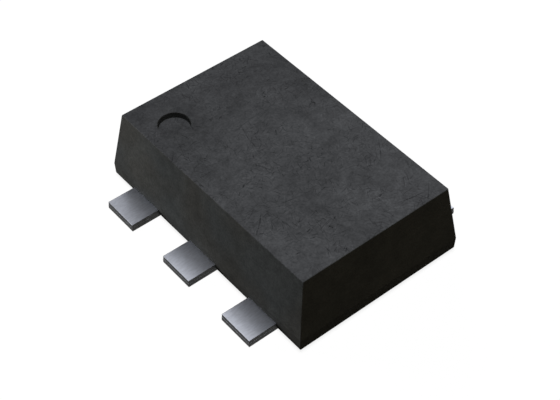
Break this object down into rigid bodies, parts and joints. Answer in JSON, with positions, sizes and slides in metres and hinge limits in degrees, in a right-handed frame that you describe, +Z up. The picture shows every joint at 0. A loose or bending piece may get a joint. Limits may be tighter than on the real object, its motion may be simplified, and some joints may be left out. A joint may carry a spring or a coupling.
{
  "type": "step-down converter chip",
  "caption": "Surface-mount power chip: a matte black moulded block with a corner dimple and flat tinned leads on both long sides, which steps a voltage down.",
  "frame": {"origin": "on the board, under the middle of the body: the middle of the plane in which the six feet stand", "axes": "+Z up from the board to the flat top; +Y along the two rows of leads, towards the end with the pin 1 dimple; +X across the rows, away from the row of lead 1"},
  "size_m": [0.0014, 0.0016, 0.0005],
  "materials": {
    "mould_compound": "matte",
    "tinned_lead": "matte",
    "silicon": "gloss",
    "copper": "satin",
    "solder": "satin"
  },
  "bodies": {
    "root": {"mould_body": "mould_compound", "silicon_die": "silicon", "lead_1_input": "tinned_lead", "lead_2_switch": "tinned_lead", "lead_3_ground": "tinned_lead", "lead_4_boost": "tinned_lead", "lead_5_enable": "tinned_lead", "lead_6_feedback": "tinned_lead", "copper_pillar_1a": "copper", "copper_pillar_1b": "copper", "copper_pillar_1c": "copper", "copper_pillar_1d": "copper", "copper_pillar_2a": "copper", "copper_pillar_2b": "copper", "copper_pillar_2c": "copper", "copper_pillar_2d": "copper", "copper_pillar_3a": "copper", "copper_pillar_3b": "copper", "copper_pillar_3c": "copper", "copper_pillar_3d": "copper", "copper_pillar_4a": "copper", "copper_pillar_5a": "copper", "copper_pillar_6a": "copper", "solder_cap_1a": "solder", "solder_cap_1b": "solder", "solder_cap_1c": "solder", "solder_cap_1d": "solder", "solder_cap_2a": "solder", "solder_cap_2b": "solder", "solder_cap_2c": "solder", "solder_cap_2d": "solder", "solder_cap_3a": "solder", "solder_cap_3b": "solder", "solder_cap_3c": "solder", "solder_cap_3d": "solder", "solder_cap_4a": "solder", "solder_cap_5a": "solder", "solder_cap_6a": "solder"}
  },
  "joints": []
}
